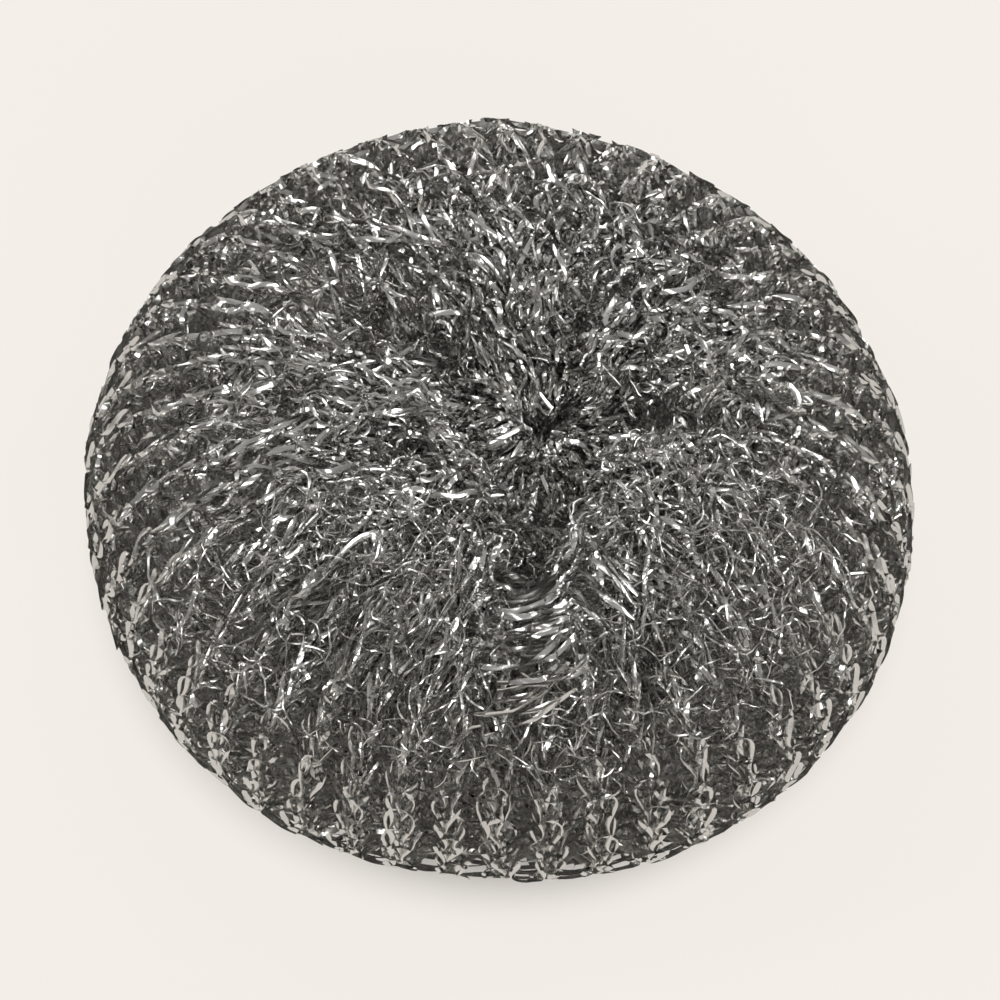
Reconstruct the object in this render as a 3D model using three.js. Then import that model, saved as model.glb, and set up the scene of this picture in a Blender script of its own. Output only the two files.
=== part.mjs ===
// A scourer ball, as one solid.
// The real one is a sleeve knitted from flat steel wire, rolled up on itself into a flattened ball and
// drawn together at both poles. Its wales, the columns of stitches, run from the upper gather over the
// rim to the lower one, and its courses, the rows of stitches, ring the ball.
// Millimetres and degrees, +Z up. The origin is on the surface that the ball rests on, under its middle.

import * as THREE from "three";
import { mergeVertices } from "three/addons/utils/BufferGeometryUtils.js";

// The ball, measured over its stitches
const ballWidth = 90;
const ballDepth = 88;
const ballHeight = 45;
const rimHeight = 20; // where the ball is widest
const crownRadius = 19; // the ring where the top is highest
const bulge = 0.7; // how far the rim swells on its long diagonal, and draws in across it
const bulgeAngle = -45;
const frontFullness = 1; // how far the front half swells beside its middle, and the back half draws in

// The flat ring that the soft ball settles on
const restInnerRadius = 15;
const restOuterRadius = 22;
const pressedHeight = 1.5; // up to here the stitches are pressed flatter than higher up

// The gathers at the poles, each a funnel that is steep inside its throat
const upperGatherDepth = 10;
const upperGatherThroat = 5;
const upperGatherShift = { x: 4.5, y: -2 }; // off the ball's axis
const lowerGatherDepth = 8;
const lowerGatherThroat = 4;
const gatheredRadius = 9; // inside it the wales crowd and the stitches flatten

// The knit: a stitch's head lies on the ball's outline, and the rest of it lies deeper
const waleCount = 52;
const courseCount = 28;
const waistDepth = 0.8; // between two stitches of one wale
const rungDepth = 1.4; // the wire that crosses from one wale to the next
const pocketDepth = 5.5; // the gap that two wales and two rungs leave

// The creases of the rolled sleeve, which run out from the upper gather
const creases = [
  { angle: -85, reach: 44, width: 10, depth: 7 },
  { angle: -8, reach: 26, width: 7, depth: 3.5 },
  { angle: 62, reach: 22, width: 6, depth: 3 },
  { angle: 149, reach: 34, width: 10, depth: 5 },
  { angle: 212, reach: 25, width: 7, depth: 3 },
];

const columnCount = 2 * Math.round(waleCount);
const rowCount = 2 * Math.round(courseCount);
const rimRadius = ballWidth / 2;
const { degToRad, smoothstep } = THREE.MathUtils;

// The ball's outline in a half plane through its axis, from the lower pole to the upper one.
function meridian() {
  const outline = new THREE.Path();
  outline.moveTo(0, lowerGatherDepth);
  outline.quadraticCurveTo(lowerGatherThroat, 0, restInnerRadius, 0);
  outline.lineTo(restOuterRadius, 0);
  outline.absellipse(restOuterRadius, rimHeight, rimRadius - restOuterRadius, rimHeight, -Math.PI / 2, 0);
  const crownRise = ballHeight - rimHeight;
  outline.absellipse(crownRadius, rimHeight, rimRadius - crownRadius, crownRise, 0, Math.PI / 2);
  outline.quadraticCurveTo(upperGatherThroat, ballHeight, 0, ballHeight - upperGatherDepth);
  return outline;
}

// How deep the knit lies under the outline at one vertex. Wales are the even columns, and the heads of
// their stitches the even rows.
function stitchDepth(row, column, radius, height) {
  const onWale = column % 2 === 0;
  const onHead = row % 2 === 0;
  const waleDepth = onHead ? 0 : waistDepth;
  const furrowDepth = onHead ? pocketDepth : rungDepth;
  const spread = Math.min(1, radius / gatheredRadius);
  return (onWale ? waleDepth : furrowDepth) * spread * smoothstep(height, 0, pressedHeight);
}

// How deep the creases lie at a place on the upper half. Each is a valley with a smooth section, which
// starts in the gather and runs out at its reach.
function creaseDepth(angle, radius) {
  return creases.reduce((sum, crease) => {
    const turn = angle - degToRad(crease.angle);
    const across = 2 * radius * Math.sin(turn / 2);
    const section = Math.exp(-((across / (crease.width / 2)) ** 2));
    const start = smoothstep(radius, 0, gatheredRadius);
    const end = 1 - smoothstep(radius, crease.reach / 2, crease.reach);
    return sum + crease.depth * section * start * end;
  }, 0);
}

// How far the rim lies outside a circle at an angle around the axis.
function outOfRound(angle) {
  const narrowing = ((ballWidth - ballDepth) / 2) * Math.sin(angle) ** 2;
  const swelling = bulge * Math.cos(2 * (angle - degToRad(bulgeAngle)));
  const fullness = -frontFullness * Math.sin(angle) * Math.abs(Math.sin(2 * angle));
  return swelling + fullness - narrowing;
}

// The vertex of the knit at a row along the outline and a column around the axis. Above the rim the
// outline turns inwards, and only there the sleeve is creased and its gather off the axis.
function knitPoint(outline, row, column) {
  const place = outline.getPointAt(row / rowCount);
  const tangent = outline.getTangentAt(row / rowCount);
  const angle = (2 * Math.PI * column) / columnCount;
  const onUpperHalf = tangent.x < 0;
  const creased = onUpperHalf ? creaseDepth(angle, place.x) : 0;
  const shift = onUpperHalf ? 1 - smoothstep(place.x, 0, rimRadius) : 0;
  const depth = stitchDepth(row, column, place.x, place.y) + creased;
  const radius = place.x - depth * tangent.y + outOfRound(angle) * (place.x / rimRadius) ** 2;
  return new THREE.Vector3(
    radius * Math.cos(angle) + shift * upperGatherShift.x,
    radius * Math.sin(angle) + shift * upperGatherShift.y,
    place.y + depth * tangent.x,
  );
}

// The closed surface of the ball. Each patch between two rows and two columns is split along the
// diagonal from a stitch's head to a rung, so that the crests read as a net of wires.
function knittedSurface() {
  const outline = meridian();
  const points = [];
  for (let row = 0; row <= rowCount; row++)
    for (let column = 0; column < columnCount; column++) points.push(knitPoint(outline, row, column));
  const vertex = (row, column) => {
    const onPole = row === 0 || row === rowCount;
    return row * columnCount + (onPole ? 0 : column % columnCount);
  };
  const triangles = [];
  const addTriangle = (...corners) => {
    if (new Set(corners).size === corners.length) triangles.push(...corners);
  };
  for (let row = 0; row < rowCount; row++)
    for (let column = 0; column < columnCount; column++) {
      const near = vertex(row, column);
      const nearNext = vertex(row, column + 1);
      const far = vertex(row + 1, column);
      const farNext = vertex(row + 1, column + 1);
      if ((row + column) % 2 === 0) {
        addTriangle(near, nearNext, farNext);
        addTriangle(near, farNext, far);
      } else {
        addTriangle(near, nearNext, far);
        addTriangle(nearNext, farNext, far);
      }
    }
  const surface = new THREE.BufferGeometry().setFromPoints(points).setIndex(triangles);
  return mergeVertices(surface);
}

const knittedBall = new THREE.Mesh(
  knittedSurface(),
  new THREE.MeshStandardMaterial({ color: 0x8b8a86, roughness: 0.32, metalness: 1, flatShading: true }),
);
knittedBall.name = "knitted_wire_ball";

const scourerBall = new THREE.Group();
scourerBall.add(knittedBall);

export default scourerBall;
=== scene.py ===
# A scourer ball: a sleeve knitted from flat steel wire, rolled up into a flattened ball. In metres, +Z up.

import math

import bpy
import numpy as np
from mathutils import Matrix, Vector


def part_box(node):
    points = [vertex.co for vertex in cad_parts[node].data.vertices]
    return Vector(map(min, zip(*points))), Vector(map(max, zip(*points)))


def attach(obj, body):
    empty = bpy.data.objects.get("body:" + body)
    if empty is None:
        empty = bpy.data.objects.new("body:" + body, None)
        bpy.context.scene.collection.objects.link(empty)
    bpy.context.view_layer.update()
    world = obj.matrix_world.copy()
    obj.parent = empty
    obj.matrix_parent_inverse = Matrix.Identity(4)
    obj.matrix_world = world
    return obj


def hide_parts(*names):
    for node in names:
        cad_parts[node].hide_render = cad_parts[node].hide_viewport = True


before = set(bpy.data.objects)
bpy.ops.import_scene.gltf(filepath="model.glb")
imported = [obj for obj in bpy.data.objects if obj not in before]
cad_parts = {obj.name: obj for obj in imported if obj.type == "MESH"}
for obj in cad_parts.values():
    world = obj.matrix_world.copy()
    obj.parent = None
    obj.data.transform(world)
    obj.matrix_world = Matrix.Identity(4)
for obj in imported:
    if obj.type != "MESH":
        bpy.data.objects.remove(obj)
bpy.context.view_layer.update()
scene = bpy.context.scene


# Steel wire
# The whole ball is one kind of wire: bright steel, drawn thin and rolled flat. Rolling leaves a fine grain
# on it, and its shine is a little uneven from one length to the next.


class Value:
    """One socket of a node tree. Python's operators join it to others by Math and Vector Math nodes."""

    def __init__(self, tree, socket):
        self.tree = tree
        self.socket = socket

    @classmethod
    def of(cls, tree, kind, inputs=(), output=0, **settings):
        """One output of a new node. Its settings are made first, and then its sockets are set or linked."""
        node = tree.nodes.new(kind)
        for name, setting in settings.items():
            setattr(node, name, setting)
        for name, value in dict(inputs).items():
            socket = node.inputs[name]
            if isinstance(value, cls):
                tree.links.new(value.socket, socket)
            elif socket.type == "VECTOR" and isinstance(value, (int, float)):
                socket.default_value = (value, value, value)
            else:
                socket.default_value = value
        return cls(tree, node.outputs[output])

    def math(self, operation, other=0.0, swapped=False):
        """What one Math or Vector Math node makes of this value and another."""
        sides = (other, self) if swapped else (self, other)
        types = [side.socket.type for side in sides if isinstance(side, Value)]
        on_vectors = isinstance(other, tuple) or "VECTOR" in types or "RGBA" in types
        kind = "ShaderNodeVectorMath" if on_vectors else "ShaderNodeMath"
        return Value.of(self.tree, kind, {0: sides[0], 1: sides[1]}, operation=operation)

    def ramp(self, start, end, low, high, shape="SMOOTHSTEP"):
        """Goes from low to high while this value goes from start to end, and keeps still outside them."""
        ends = {"Value": self, "From Min": start, "From Max": end, "To Min": low, "To Max": high}
        return Value.of(self.tree, "ShaderNodeMapRange", ends, interpolation_type=shape)

    def __add__(self, other):
        return self.math("ADD", other)

    def __radd__(self, other):
        return self.math("ADD", other, swapped=True)

    def __sub__(self, other):
        return self.math("SUBTRACT", other)

    def __rsub__(self, other):
        return self.math("SUBTRACT", other, swapped=True)

    def __mul__(self, other):
        return self.math("MULTIPLY", other)

    def __rmul__(self, other):
        return self.math("MULTIPLY", other, swapped=True)

    def __truediv__(self, other):
        return self.math("DIVIDE", other)

    def __mod__(self, other):
        return self.math("FLOORED_MODULO", other)


def steel_wire_material():
    bare_steel = (0.70, 0.692, 0.666, 1.0)
    dull_steel = (0.54, 0.534, 0.514, 1.0)
    least_rough = 0.16
    most_rough = 0.32
    material = bpy.data.materials.new("flat_steel_wire")
    material.use_nodes = True
    tree = material.node_tree
    shader = tree.nodes["Principled BSDF"]
    shader.inputs["Metallic"].default_value = 1.0
    place = Value.of(tree, "ShaderNodeTexCoord", output="Object")
    patches = Value.of(tree, "ShaderNodeTexNoise", {"Vector": place, "Scale": 240.0, "Detail": 1.0})
    grain = Value.of(tree, "ShaderNodeTexNoise", {"Vector": place, "Scale": 5200.0, "Detail": 0.0})
    shades = {"Factor": patches, "A": dull_steel, "B": bare_steel}
    tone = Value.of(tree, "ShaderNodeMix", shades, "Result", data_type="RGBA")
    bump = Value.of(tree, "ShaderNodeBump", {"Height": grain, "Strength": 0.12, "Distance": 0.00005})
    roughness = least_rough + (most_rough - least_rough) * patches
    tree.links.new(tone.socket, shader.inputs["Base Color"])
    tree.links.new(roughness.socket, shader.inputs["Roughness"])
    tree.links.new(bump.socket, shader.inputs["Normal"])
    return material


steel_wire = steel_wire_material()


# Form of the rolled sleeve
# Rolled up on itself and drawn together at both ends, the sleeve makes a flattened ball with a funnel at
# each pole and creases that run out from the upper one. Every turn of wire follows this guide surface.

ball_low, ball_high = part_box("knitted_wire_ball")
rim_radius = (ball_high.x - ball_low.x) / 2
rim_narrowing = (ball_high.x - ball_low.x - ball_high.y + ball_low.y) / 2
ball_height = ball_high.z
rim_height = 0.020
crown_radius = 0.019
bulge = 0.0007
bulge_angle = math.radians(-45)
front_fullness = 0.001
rest_inner_radius = 0.015
rest_outer_radius = 0.022
upper_gather_depth = 0.009
upper_gather_throat = 0.0050
upper_gather_shift = (0.0045, -0.001)
lower_gather_depth = 0.008
lower_gather_throat = 0.004
gathered_radius = 0.009
creases = [
    {"angle": -85, "reach": 0.044, "width": 0.010, "depth": 0.0074},
    {"angle": -8, "reach": 0.026, "width": 0.007, "depth": 0.0052},
    {"angle": 62, "reach": 0.022, "width": 0.006, "depth": 0.0030},
    {"angle": 149, "reach": 0.034, "width": 0.010, "depth": 0.0070},
    {"angle": 212, "reach": 0.025, "width": 0.007, "depth": 0.0030},
]
fully_creased_depth = 0.0050


def smoothstep(value, low, high):
    share = np.clip((value - low) / (high - low), 0, 1)
    return share * share * (3 - 2 * share)


def sleeve_outline(count):
    """Points at equal steps along the ball's outline, from its lower to its upper pole, with tangents."""
    points_per_run = 60
    share = np.linspace(0, 1, points_per_run)[:, None]

    def bend(start, corner, end):
        return (1 - share) ** 2 * start + 2 * share * (1 - share) * corner + share**2 * end

    def quarter(centre_radius, height, start):
        turn = math.radians(start) + share * math.pi / 2
        across = centre_radius + (rim_radius - centre_radius) * np.cos(turn)
        return np.hstack([across, rim_height + height * np.sin(turn)])

    lower_pole = np.array([0, lower_gather_depth])
    upper_pole = np.array([0, ball_height - upper_gather_depth])
    crown = np.array([crown_radius, ball_height])
    runs = [
        bend(lower_pole, np.array([lower_gather_throat, 0]), np.array([rest_inner_radius, 0])),
        quarter(rest_outer_radius, rim_height, -90),
        quarter(crown_radius, ball_height - rim_height, 0),
        bend(crown, np.array([upper_gather_throat, ball_height]), upper_pole),
    ]
    line = np.concatenate(runs)
    steps = np.hypot(*np.diff(line, axis=0).T)
    length = np.concatenate([[0], np.cumsum(steps)])
    even = np.linspace(0, length[-1], count)
    radius = np.interp(even, length, line[:, 0])
    height = np.interp(even, length, line[:, 1])
    tangent = np.gradient(np.column_stack([radius, height]), axis=0)
    return radius, height, tangent / np.linalg.norm(tangent, axis=1)[:, None]


def sleeve_form(columns=208, rows=161):
    """The guide surface as a grid, with a UV map whose U runs round the ball and V from pole to pole."""
    radius, height, tangent = sleeve_outline(rows)
    angle = np.linspace(0, 2 * math.pi, columns + 1)[None, :]
    radius, height = radius[:, None], height[:, None]
    inwards = tangent[:, :1] < 0
    depth = np.zeros((rows, columns + 1))
    for crease in creases:
        across = 2 * radius * np.sin((angle - math.radians(crease["angle"])) / 2)
        section = np.exp(-((across / (crease["width"] / 2)) ** 2))
        start = smoothstep(radius, 0, gathered_radius)
        end = 1 - smoothstep(radius, crease["reach"] / 2, crease["reach"])
        depth += np.where(inwards, crease["depth"] * section * start * end, 0)
    swelling = bulge * np.cos(2 * (angle - bulge_angle))
    fullness = -front_fullness * np.sin(angle) * np.abs(np.sin(2 * angle))
    out_of_round = (swelling + fullness - rim_narrowing * np.sin(angle) ** 2) * (radius / rim_radius) ** 2
    shift = np.where(inwards, 1 - smoothstep(radius, 0, rim_radius), 0)
    reach = radius - depth * tangent[:, 1:] + out_of_round
    places = np.stack(
        [
            reach * np.cos(angle) + shift * upper_gather_shift[0],
            reach * np.sin(angle) + shift * upper_gather_shift[1],
            np.broadcast_to(height + depth * tangent[:, :1], depth.shape),
        ],
        axis=-1,
    )
    corner = np.arange(rows * (columns + 1)).reshape(rows, columns + 1)
    faces = np.stack([corner[:-1, :-1], corner[:-1, 1:], corner[1:, 1:], corner[1:, :-1]], axis=-1)
    mesh = bpy.data.meshes.new("sleeve_form")
    mesh.from_pydata(places.reshape(-1, 3), [], faces.reshape(-1, 4))
    mesh.shade_smooth()
    creased = mesh.attributes.new("creased", "FLOAT", "POINT")
    creased_share = np.clip(depth / fully_creased_depth, 0, 1)
    creased.data.foreach_set("value", creased_share.astype(np.float32).ravel())
    spread = np.stack(np.meshgrid(np.linspace(0, 1, columns + 1), np.linspace(0, 1, rows)), axis=-1)
    sleeve = mesh.uv_layers.new(name="sleeve")
    sleeve.data.foreach_set("uv", spread.reshape(-1, 2)[faces.reshape(-1)].astype(np.float32).ravel())
    return bpy.data.objects.new("sleeve_form", mesh)


form = sleeve_form()


# Flat wire
# The wire is a thin ribbon of steel, several times as wide as it is thick. It keeps one section along each
# length, and it turns about its own line as it is bent, so that it shines in short glints.


class WireTree:
    """A Geometry Nodes tree that lays flat wire along lines on the form, with named sizes as its inputs."""

    def __init__(self, name, sizes):
        self.tree = bpy.data.node_groups.new(name, "GeometryNodeTree")
        self.tree.interface.new_socket("Wire", in_out="OUTPUT", socket_type="NodeSocketGeometry")
        for size, kind in sizes.items():
            self.tree.interface.new_socket(size, in_out="INPUT", socket_type="NodeSocket" + kind)
        self.group = self.tree.nodes.new("NodeGroupInput")

    def size(self, name):
        return Value(self.tree, self.group.outputs[name])

    def make(self, kind, inputs=(), output=0, **settings):
        return Value.of(self.tree, kind, inputs, output, **settings)

    def vector(self, x, y, z=0.0):
        return self.make("ShaderNodeCombineXYZ", {"X": x, "Y": y, "Z": z})

    def kept(self, name, kind="FLOAT"):
        return self.make("GeometryNodeInputNamedAttribute", {"Name": name}, data_type=kind)

    def keep(self, geometry, name, value, kind="FLOAT", domain="POINT"):
        inputs = {"Geometry": geometry, "Name": name, "Value": value}
        return self.make("GeometryNodeStoreNamedAttribute", inputs, domain=domain, data_type=kind)

    def wander(self, along, offset, output=0):
        """A value around zero that changes smoothly along the wire, once or so in each unit."""
        room_for_each = 37.0
        start = (self.size("Seed") + offset) * room_for_each
        noise = {"W": along + start, "Scale": 1.0, "Detail": 1.0}
        return self.make("ShaderNodeTexNoise", noise, output, noise_dimensions="1D") - 0.5

    def on_form(self, u, v, value, kind="FLOAT_VECTOR"):
        """What a value is at one place of the form's UV map."""
        sample = {
            "Mesh": self.make("GeometryNodeObjectInfo", {"Object": self.size("Form")}, "Geometry"),
            "Value": value,
            "UV Map": self.kept("sleeve", "FLOAT_VECTOR"),
            "Sample UV": self.vector(u.math("FRACT"), v),
        }
        return self.make("GeometryNodeSampleUVSurface", sample, data_type=kind)

    def spread_faces(self, ribbon):
        """Gives every face a cell of its own, with a margin round it, on a UV map named OFBake."""
        margin = 0.1
        cell = 1 - 2 * margin
        counted = {"Geometry": ribbon}
        faces = self.make("GeometryNodeAttributeDomainSize", counted, "Face Count", component="MESH")
        side = faces.math("SQRT").math("CEIL")
        face = self.make("GeometryNodeFaceOfCorner", output="Face Index")
        corner = self.make("GeometryNodeFaceOfCorner", output="Index in Face")
        across = face % side + margin + cell * ((corner + 1) % 4 / 2).math("FLOOR")
        up = (face / side).math("FLOOR") + margin + cell * (corner / 2).math("FLOOR")
        return self.keep(ribbon, "OFBake", self.vector(across / side, up / side), "FLOAT2", "CORNER")

    def lay_wire(self, count, strand, place, outward, roll):
        """Ends the tree with a ribbon through the places, rolled about its line from standing on edge."""
        far_below = -10.0
        triangle_height = 1.5
        triangle_side = math.sqrt(3)
        above_floor = self.vector(far_below, far_below, self.size("Wire Width") / 2)
        points = self.make("GeometryNodePoints", {"Count": count})
        points = self.keep(points, "outward", outward, "FLOAT_VECTOR")
        points = self.keep(points, "roll", roll)
        place = place.math("MAXIMUM", above_floor)
        points = self.make("GeometryNodeSetPosition", {"Geometry": points, "Position": place})
        order = self.make("GeometryNodeInputIndex")
        joined = {"Points": points, "Curve Group ID": strand, "Weight": order}
        wire = self.make("GeometryNodePointsToCurves", joined)
        tangent = self.make("GeometryNodeInputTangent")
        sideways = tangent.math("CROSS_PRODUCT", self.kept("outward", "FLOAT_VECTOR")).math("NORMALIZE")
        turned = {"Vector": sideways, "Axis": tangent, "Angle": self.kept("roll")}
        facing = self.make("ShaderNodeVectorRotate", turned)
        wire = self.make("GeometryNodeSetCurveNormal", {"Curve": wire, "Normal": facing}, mode="FREE")
        triangle = {"Resolution": 3, "Radius": 1.0}
        section = self.make("GeometryNodeCurvePrimitiveCircle", triangle, mode="RADIUS")
        thickness = self.size("Wire Thickness") / triangle_height
        flat = self.vector(thickness, self.size("Wire Width") / triangle_side, 1.0)
        section = self.make("GeometryNodeTransform", {"Geometry": section, "Scale": flat})
        swept = {"Curve": wire, "Profile Curve": section, "Fill Caps": True}
        ribbon = self.spread_faces(self.make("GeometryNodeCurveToMesh", swept))
        edge_angle = self.make("GeometryNodeInputMeshEdgeAngle")
        corner_limit = {"A": edge_angle, "B": math.radians(60)}
        sharp = self.make("FunctionNodeCompare", corner_limit, operation="GREATER_THAN")
        shading = {"Geometry": ribbon, "Selection": sharp, "Shade Smooth": False}
        ribbon = self.make("GeometryNodeSetShadeSmooth", shading, domain="EDGE")
        ribbon = self.make("GeometryNodeRealizeInstances", {"Geometry": ribbon})
        finished = {"Geometry": ribbon, "Material": self.size("Material")}
        ribbon = self.make("GeometryNodeSetMaterial", finished)
        output = self.tree.nodes.new("NodeGroupOutput")
        self.tree.links.new(ribbon.socket, output.inputs["Wire"])

    def grow(self, name, sizes):
        """A plain mesh object that the tree makes from its named sizes, set down as part of the ball."""
        piece = bpy.data.objects.new(name, bpy.data.meshes.new(name))
        scene.collection.objects.link(piece)
        modifier = piece.modifiers.new(name, "NODES")
        modifier.node_group = self.tree
        for item in self.tree.interface.items_tree:
            if item.in_out == "INPUT":
                modifier[item.identifier] = sizes[item.name]
        evaluated = piece.evaluated_get(bpy.context.evaluated_depsgraph_get())
        piece.data = bpy.data.meshes.new_from_object(evaluated)
        piece.modifiers.clear()
        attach(piece, "root")
        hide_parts("knitted_wire_ball")


# Turns of the sleeve
# The sleeve lies in six turns, one inside the other, each a plain knit of steel wire. The legs of its loops
# bunch into ridges, the feet hang across the furrows, and towards the upper gather the knit is tangled.


def knitted_turn_tree():
    turn = WireTree("knitted_turn", {
        "Form": "Object",
        "Wales": "Int",
        "Courses": "Int",
        "First Course": "Int",
        "Last Course": "Int",
        "Points per Stitch": "Int",
        "Wale Shift": "Float",
        "Loop Width": "Float",
        "Foot Width": "Float",
        "Loop Height": "Float",
        "Leg Depth": "Float",
        "Foot Depth": "Float",
        "Foot Sink": "Float",
        "Unevenness": "Float",
        "Stray": "Float",
        "Throat": "Float",
        "Crumple": "Float",
        "Tangle": "Float",
        "Lay": "Float",
        "Rim Lay": "Float",
        "Twist": "Float",
        "Wire Width": "Float",
        "Wire Thickness": "Float",
        "Seed": "Float",
        "Material": "Material",
    })
    size, make, wander = turn.size, turn.make, turn.wander
    index = make("GeometryNodeInputIndex")
    stitch = size("First Course") * size("Wales") + index / size("Points per Stitch")
    phase = stitch * (2 * math.pi)

    # How far the wire has climbed: 0 at the lower pole, about 0.48 on the rim and 1 at the upper pole
    climb = stitch / size("Wales") / size("Courses")
    tangled = climb.ramp(0.60, 0.86, 0.0, 1.0)
    above_rim = climb.ramp(0.60, 0.70, 0.0, 1.0)
    past_rim = climb.ramp(0.44, 0.54, 0.4, 1.0)
    up_to_rim = climb.ramp(0.52, 0.64, 1.0, 0.0)
    shortened = 1 - 0.35 * tangled
    flattened = 1 - 0.62 * tangled

    # The loop that the wire makes in each wale: wales count round the ball, courses from pole to pole
    loop_width = size("Loop Width") * (1 + wander(stitch * 0.9, 1))
    foot_width = size("Foot Width") * (1 + wander(stitch * 0.8, 2))
    loop_height = size("Loop Height") * (1 + 1.3 * wander(stitch * 0.7, 3)) * shortened
    stray = size("Stray") * (0.3 + tangled)
    crossing = size("Stray") * 4.0 * tangled * tangled
    wale = stitch + loop_width * (phase * 2).math("SINE") - foot_width * phase.math("SINE")
    wale = wale + stray * wander(stitch * 0.3, 4) + crossing * wander(stitch * 1.1, 9)
    course = climb * size("Courses") + loop_height * phase.math("COSINE") + stray * wander(stitch * 0.2, 5)
    u = (wale + size("Wale Shift")) / size("Wales") + 1
    v = course.ramp(0.0, size("Courses"), 0.03, size("Throat"), "LINEAR")

    # Its place in the ball, which is soft and crumpled
    spot = turn.on_form(u, v, make("GeometryNodeInputPosition"))
    outward = turn.on_form(u, v, make("GeometryNodeInputNormal"))
    on_legs = 0.5 + 0.5 * (wale * (2 * math.pi)).math("COSINE")
    foot_depth = size("Foot Depth") + size("Foot Sink") * above_rim
    depth = foot_depth + (size("Leg Depth") - foot_depth) * on_legs
    depth = depth * flattened + size("Unevenness") * wander(stitch * 0.6, 6)
    around = {"Vector": spot + size("Seed") * 0.31, "Scale": 95.0, "Detail": 0.6}
    bend = (make("ShaderNodeTexNoise", around, "Color") - 0.5) * size("Crumple")
    bend = bend * (0.5 + tangled) + wander(stitch * 1.6, 7, "Color") * size("Tangle") * (0.06 + tangled)
    place = spot - outward * depth + bend

    # Its roll: it leans on the legs, flips over in places and lies flat up to the rim, and creases calm it
    calm = 1 - 0.25 * turn.on_form(u, v, turn.kept("creased"), "FLOAT")
    lean = 0.5 - 0.5 * (phase * 2).math("COSINE")
    widest_swing = 4.5
    swing = wander(stitch * 6.0, 8) * widest_swing
    flip = swing * swing * swing * size("Twist") * past_rim * (0.3 + 0.7 * on_legs + 0.4 * tangled)
    roll = (flip - lean * size("Lay") * (1 + 0.8 * tangled)) * calm
    roll = roll - (1 - lean) * size("Rim Lay") * up_to_rim
    stitches = (size("Last Course") - size("First Course")) * size("Wales")
    turn.lay_wire(stitches * size("Points per Stitch") + 1, 0, place, outward, roll)
    return turn


wale_count = 52
outer_wire_width = 0.00056
inner_wire_width = 0.8 * outer_wire_width
wire_thickness = 0.00006
outer_throat = 0.972
throat_step = 0.003
first_seed = 3.0
turns = [
    {
        "name": "outer_turn",
        "shift": 0.0,
        "legs": 0.0008,
        "feet": 0.0006,
        "sink": 0.0020,
        "crumple": 0.0016,
        "rim_lay": 1.0,
        "wire": outer_wire_width,
        "courses": 34,
        "lower_courses": 12,
        "points_below": 12,
        "points_above": 28,
    },
    {
        "name": "second_turn",
        "shift": 0.05,
        "legs": 0.0010,
        "feet": 0.0030,
        "sink": 0.0004,
        "crumple": 0.0024,
        "rim_lay": 0.3,
        "wire": inner_wire_width,
        "courses": 34,
        "lower_courses": 12,
        "points_below": 10,
        "points_above": 22,
    },
    {
        "name": "third_turn",
        "shift": 0.97,
        "legs": 0.0020,
        "feet": 0.0044,
        "sink": 0.0,
        "crumple": 0.0030,
        "rim_lay": 0.3,
        "wire": inner_wire_width,
        "courses": 32,
        "lower_courses": 11,
        "points_below": 8,
        "points_above": 18,
    },
    {
        "name": "fourth_turn",
        "shift": 0.5,
        "legs": 0.0040,
        "feet": 0.0052,
        "sink": 0.0,
        "crumple": 0.0036,
        "rim_lay": 0.3,
        "wire": inner_wire_width,
        "courses": 30,
        "lower_courses": 10,
        "points_below": 8,
        "points_above": 16,
    },
    {
        "name": "fifth_turn",
        "shift": 0.42,
        "legs": 0.0050,
        "feet": 0.0064,
        "sink": 0.0,
        "crumple": 0.0046,
        "rim_lay": 0.3,
        "wire": inner_wire_width,
        "courses": 28,
        "lower_courses": 9,
        "points_below": 8,
        "points_above": 14,
    },
    {
        "name": "inner_turn",
        "shift": 0.75,
        "legs": 0.0064,
        "feet": 0.0080,
        "sink": 0.0,
        "crumple": 0.0050,
        "rim_lay": 0.3,
        "wire": inner_wire_width,
        "courses": 24,
        "lower_courses": 8,
        "points_below": 8,
        "points_above": 12,
    },
]
turn_tree = knitted_turn_tree()
for number, turn in enumerate(turns):
    for part, first, last, points in [
        ("below", 0, turn["lower_courses"], turn["points_below"]),
        ("above", turn["lower_courses"], turn["courses"], turn["points_above"]),
    ]:
        turn_tree.grow(turn["name"] + "_" + part, {
            "Form": form,
            "Wales": wale_count,
            "Courses": turn["courses"],
            "First Course": first,
            "Last Course": last,
            "Points per Stitch": points,
            "Wale Shift": turn["shift"],
            "Loop Width": 0.22,
            "Foot Width": 0.10,
            "Loop Height": 1.0,
            "Leg Depth": turn["legs"],
            "Foot Depth": turn["feet"],
            "Foot Sink": turn["sink"],
            "Unevenness": 0.0010,
            "Stray": 1.5,
            "Throat": outer_throat + throat_step * number,
            "Crumple": turn["crumple"],
            "Tangle": 0.0042,
            "Lay": math.radians(36),
            "Rim Lay": turn["rim_lay"],
            "Twist": 1.8,
            "Wire Width": turn["wire"],
            "Wire Thickness": wire_thickness,
            "Seed": first_seed + number,
            "Material": steel_wire,
        })


# Loose strands
# Lengths of the same wire that were pulled out of their stitches: thin curls over the front, short drawn
# ones round the upper gather, and a sheaf of longer ones across the front crease, with a few at its edge.


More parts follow.
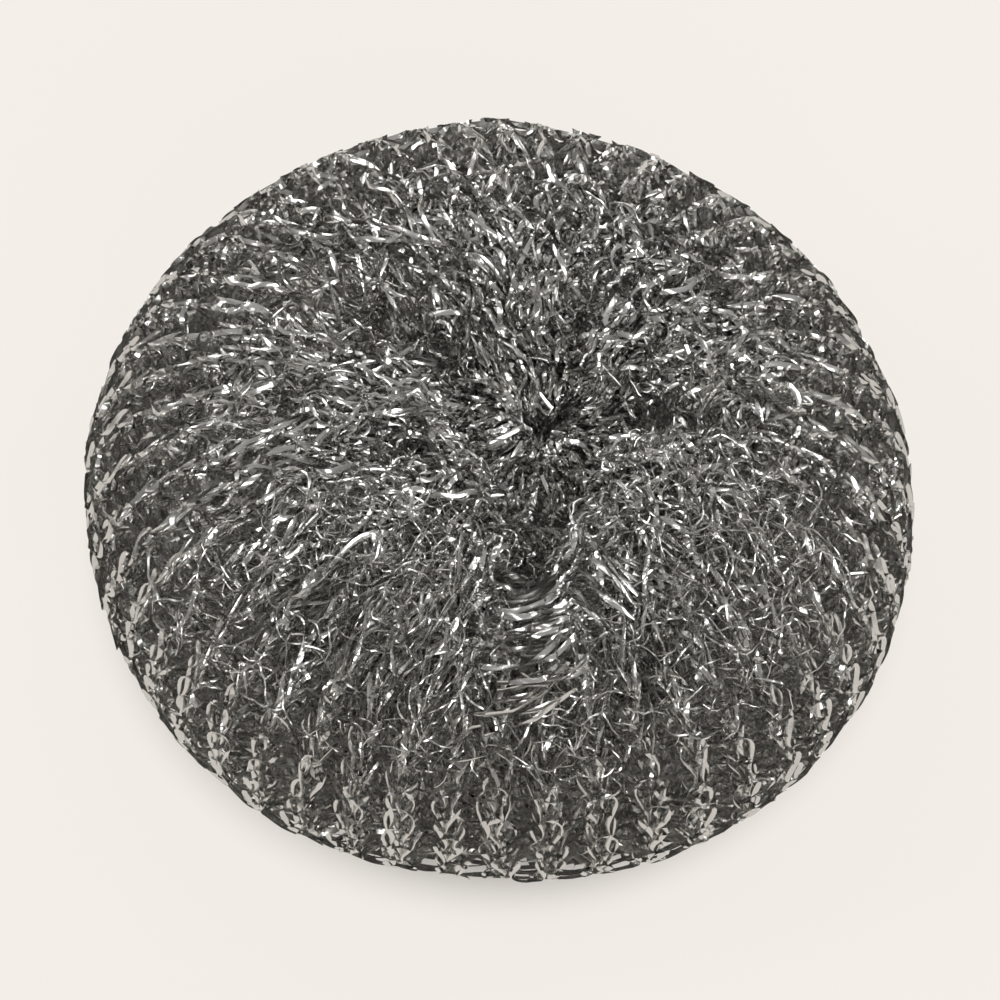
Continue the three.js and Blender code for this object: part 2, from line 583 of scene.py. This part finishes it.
def loose_strand_tree():
    loose = WireTree("loose_strands", {
        "Form": "Object",
        "Strands": "Int",
        "Points per Strand": "Int",
        "U Low": "Float",
        "U High": "Float",
        "V Low": "Float",
        "V High": "Float",
        "Heading": "Float",
        "Heading Spread": "Float",
        "Curl": "Float",
        "Curl Spread": "Float",
        "Length": "Float",
        "Wobble": "Float",
        "Lift": "Float",
        "Dip": "Float",
        "Lay": "Float",
        "Twist": "Float",
        "Wire Width": "Float",
        "Wire Thickness": "Float",
        "Seed": "Float",
        "Material": "Material",
    })
    size, make = loose.size, loose.make
    room_for_strand = 7.0
    index = make("GeometryNodeInputIndex")
    strand = (index / size("Points per Strand")).math("FLOOR")
    along = (index % size("Points per Strand")) / (size("Points per Strand") - 1) - 0.5

    def chance(number, low, high):
        """A value between the two that each strand has for itself."""
        share = make("FunctionNodeRandomValue", {"ID": strand, "Seed": number}, 1, data_type="FLOAT")
        return low + (high - low) * share

    u = chance(1, size("U Low"), size("U High"))
    step = (strand + chance(2, 0.0, 1.0)) / size("Strands")
    v = size("V Low") + (size("V High") - size("V Low")) * step
    heading = size("Heading") + size("Heading Spread") * chance(3, -1.0, 1.0)
    curl = size("Curl") + size("Curl Spread") * chance(4, -1.0, 1.0)
    length = size("Length") * chance(5, 0.6, 1.4)
    spot = loose.on_form(u, v, make("GeometryNodeInputPosition"))
    outward = loose.on_form(u, v, make("GeometryNodeInputNormal"))
    east = loose.vector(0.0, 0.0, 1.0).math("CROSS_PRODUCT", spot).math("NORMALIZE")
    north = outward.math("CROSS_PRODUCT", east)
    ahead = east * heading.math("COSINE") + north * heading.math("SINE")
    aside = north * heading.math("COSINE") - east * heading.math("SINE")
    bent = curl * along
    forward = length * bent.math("SINE") / curl
    sidestep = length * (1 - bent.math("COSINE")) / curl
    rise = size("Lift") * chance(6, 0.5, 1.0) - size("Dip") * 4.0 * along * along
    wobble = loose.wander(strand * room_for_strand + along * 2.5, 1, "Color") * (size("Wobble") * length)
    place = spot + ahead * forward + aside * sidestep + outward * rise + wobble
    roll = loose.wander(strand * room_for_strand + along * 2.0, 2) * size("Twist") - size("Lay")
    loose.lay_wire(size("Strands") * size("Points per Strand"), strand, place, outward, roll)
    return loose


every_strand = {"Form": form, "Wire Thickness": wire_thickness, "Material": steel_wire}
strand_tree = loose_strand_tree()
strand_tree.grow("loose_curls", {
    **every_strand,
    "Strands": 640,
    "Points per Strand": 14,
    "U Low": 0.58,
    "U High": 0.95,
    "V Low": 0.60,
    "V High": 0.85,
    "Heading": 0.0,
    "Heading Spread": math.pi,
    "Curl": 0.4,
    "Curl Spread": 3.5,
    "Length": 0.007,
    "Wobble": 0.2,
    "Lift": 0.0009,
    "Dip": 0.0016,
    "Lay": 0.0,
    "Twist": 5.0,
    "Wire Width": 0.00020,
    "Seed": 21.0,
})
strand_tree.grow("drawn_strands", {
    **every_strand,
    "Strands": 260,
    "Points per Strand": 14,
    "U Low": 0.0,
    "U High": 1.0,
    "V Low": 0.74,
    "V High": 0.94,
    "Heading": 1.57,
    "Heading Spread": 1.5,
    "Curl": 0.1,
    "Curl Spread": 1.6,
    "Length": 0.0050,
    "Wobble": 0.12,
    "Lift": 0.0005,
    "Dip": 0.0012,
    "Lay": 0.3,
    "Twist": 3.0,
    "Wire Width": 0.00026,
    "Seed": 24.0,
})
strand_tree.grow("crease_strands", {
    **every_strand,
    "Strands": 26,
    "Points per Strand": 20,
    "U Low": 0.752,
    "U High": 0.776,
    "V Low": 0.650,
    "V High": 0.805,
    "Heading": 0.22,
    "Heading Spread": 0.22,
    "Curl": 0.6,
    "Curl Spread": 0.4,
    "Length": 0.0085,
    "Wobble": 0.08,
    "Lift": 0.0020,
    "Dip": -0.0014,
    "Lay": math.radians(30),
    "Twist": 3.6,
    "Wire Width": 0.00056,
    "Seed": 22.0,
})
strand_tree.grow("crease_edge_strands", {
    **every_strand,
    "Strands": 10,
    "Points per Strand": 16,
    "U Low": 0.792,
    "U High": 0.818,
    "V Low": 0.745,
    "V High": 0.805,
    "Heading": 1.66,
    "Heading Spread": 0.2,
    "Curl": 0.1,
    "Curl Spread": 0.5,
    "Length": 0.0085,
    "Wobble": 0.06,
    "Lift": 0.0012,
    "Dip": 0.0015,
    "Lay": math.radians(30),
    "Twist": 3.0,
    "Wire Width": 0.00056,
    "Seed": 23.0,
})
bpy.data.objects.remove(form)


# Floor and light
# A plain pale floor and soft lamps. Beside the ball the floor mostly shows a pale glow, both to the camera
# and in the wire, and for the rest it is lit by the lamps and keeps the ball's shadow. Under the ball the
# glow fades out, which is painted shade there on top of the ball's real shadow.

floor_colour = (0.74, 0.706, 0.666, 1.0)
pale_colour = (0.915, 0.872, 0.824, 1.0)
shaded_middle = (0.0, 0.006, 0.0)
pale_from = 0.038
pale_past = 0.048
palest_share = 0.9
floor_reach = 3.0
floor_signs = [(-1, -1), (1, -1), (1, 1), (-1, 1)]
floor_corners = [(x * floor_reach, y * floor_reach, 0.0) for x, y in floor_signs]
floor_mesh = bpy.data.meshes.new("floor")
floor_mesh.from_pydata(floor_corners, [], [(0, 1, 2, 3)])
floor = bpy.data.objects.new("floor", floor_mesh)
scene.collection.objects.link(floor)
floor_material = bpy.data.materials.new("pale_floor")
floor_material.use_nodes = True
floor_tree = floor_material.node_tree
floor_shader = floor_tree.nodes["Principled BSDF"]
floor_shader.inputs["Base Color"].default_value = floor_colour
floor_shader.inputs["Roughness"].default_value = 0.9
glow = Value.of(floor_tree, "ShaderNodeEmission", {"Color": pale_colour, "Strength": 1.0})
seen = Value.of(floor_tree, "ShaderNodeLightPath", output="Is Camera Ray")
mirrored = Value.of(floor_tree, "ShaderNodeLightPath", output="Is Glossy Ray")
passed = Value.of(floor_tree, "ShaderNodeLightPath", output="Is Transmission Ray")
floor_place = Value.of(floor_tree, "ShaderNodeTexCoord", output="Object")
from_middle = {0: floor_place - shaded_middle}
distance = Value.of(floor_tree, "ShaderNodeVectorMath", from_middle, "Value", operation="LENGTH")
# The glow fades out towards the middle under the ball: painted shade there, besides the lamps' real shadow.
glow_with_painted_shade_under_ball = distance.ramp(pale_from, pale_past, 0.0, palest_share)
pale_share = seen.math("MAXIMUM", mirrored).math("MAXIMUM", passed) * glow_with_painted_shade_under_ball
lit = Value(floor_tree, floor_shader.outputs["BSDF"])
pale_floor = Value.of(floor_tree, "ShaderNodeMixShader", {0: pale_share, 1: lit, 2: glow})
floor_tree.links.new(pale_floor.socket, floor_tree.nodes["Material Output"].inputs["Surface"])
floor_mesh.materials.append(floor_material)

horizon_strength = 0.23
zenith_strength = 0.46
world = bpy.data.worlds.new("studio")
world.use_nodes = True
scene.world = world
sky = world.node_tree
sky_direction = Value.of(sky, "ShaderNodeTexCoord", output="Generated")
sky_height = Value.of(sky, "ShaderNodeSeparateXYZ", {"Vector": sky_direction}, "Z")
sky_strength = sky_height.ramp(0.0, 1.0, horizon_strength, zenith_strength, "LINEAR")
sky.nodes["Background"].inputs["Color"].default_value = (1.0, 0.99, 0.975, 1.0)
sky.links.new(sky_strength.socket, sky.nodes["Background"].inputs["Strength"])

lamp_aim = Vector((0, 0, 0.02))
for name, place, width, depth, power in [
    ("overhead_lamp", (0.00, 0.45, 1.00), 0.7, 0.45, 2.0),
    ("left_lamp", (-0.85, 0.05, 0.65), 0.45, 0.6, 4.2),
    ("right_lamp", (0.80, 0.40, 0.55), 0.45, 0.6, 3.4),
    ("front_lamp", (0.20, -0.85, 0.70), 0.6, 0.4, 5.0),
]:
    light = bpy.data.lights.new(name, "AREA")
    light.shape = "RECTANGLE"
    light.size = width
    light.size_y = depth
    light.energy = power
    lamp = bpy.data.objects.new(name, light)
    lamp.location = place
    lamp.rotation_euler = (lamp_aim - Vector(place)).to_track_quat("-Z", "Y").to_euler()
    scene.collection.objects.link(lamp)


# Camera
# A long lens looks down on the ball from the front, so that the ball fills the frame as in the photograph,
# and its picture is shown in plain Standard colours.

camera_elevation = math.radians(61)
camera_distance = 0.45
camera_aim = Vector((0.00016, -0.00057, 0.0197))
camera = bpy.data.objects.new("camera", bpy.data.cameras.new("camera"))
camera.data.sensor_width = 36.0
camera.data.lens = 150.4
camera.data.clip_start = 0.01
away = Vector((0, -math.cos(camera_elevation), math.sin(camera_elevation)))
camera.location = camera_aim + away * camera_distance
camera.rotation_euler = (-away).to_track_quat("-Z", "Y").to_euler()
scene.collection.objects.link(camera)
scene.camera = camera
scene.view_settings.view_transform = "Standard"
